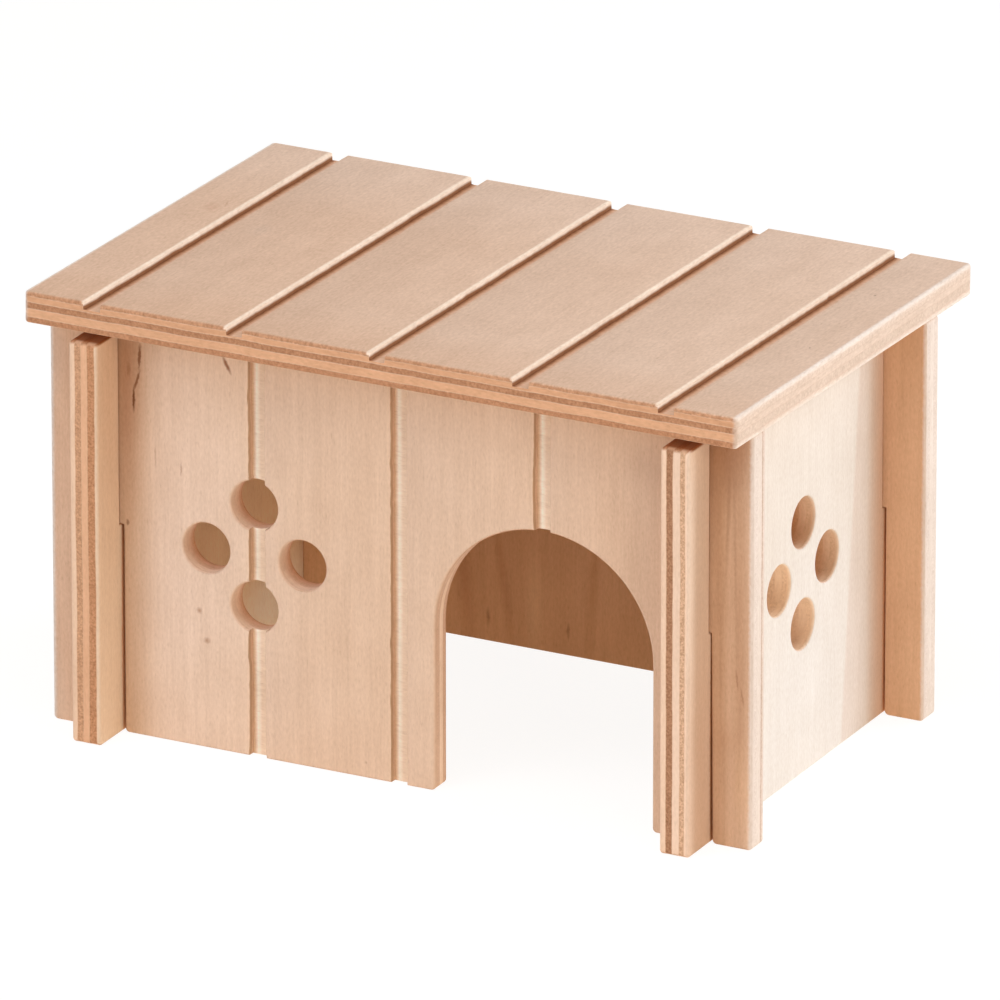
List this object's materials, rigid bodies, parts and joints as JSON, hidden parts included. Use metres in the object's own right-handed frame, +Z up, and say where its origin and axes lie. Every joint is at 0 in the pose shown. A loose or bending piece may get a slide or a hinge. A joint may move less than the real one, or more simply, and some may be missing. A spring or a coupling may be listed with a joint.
{
  "type": "wooden hamster house",
  "caption": "Plywood hideout for a hamster: slotted walls crossing at the corners, an arched doorway, round vents and a lift-off plank-look roof.",
  "frame": {"origin": "middle of the object's footprint, at the level of the surface it stands on", "axes": "+X to the right seen from the front, along the front panel; +Y towards the back; +Z up; the doorway faces -Y"},
  "size_m": [0.149, 0.1002, 0.089],
  "materials": {
    "wall_plywood": "pale birch plywood, sanded and unvarnished",
    "roof_plywood": "pale birch plywood, sanded and unvarnished, with routed grooves",
    "cleat_pine": "planed pine strip",
    "brad_steel": "bright drawn wire"
  },
  "bodies": {
    "walls": {"front_panel": "wall_plywood", "back_panel": "wall_plywood", "left_side_panel": "wall_plywood", "right_side_panel": "wall_plywood"},
    "roof": {"roof_panel": "roof_plywood", "left_roof_cleat": "cleat_pine", "right_roof_cleat": "cleat_pine", "cleat_brads": "brad_steel"}
  },
  "joints": [
    {"name": "roof_lift", "type": "slide", "parent": "walls", "child": "roof", "axis": [0, 0, 1], "range_m": [0, 0.08]}
  ]
}
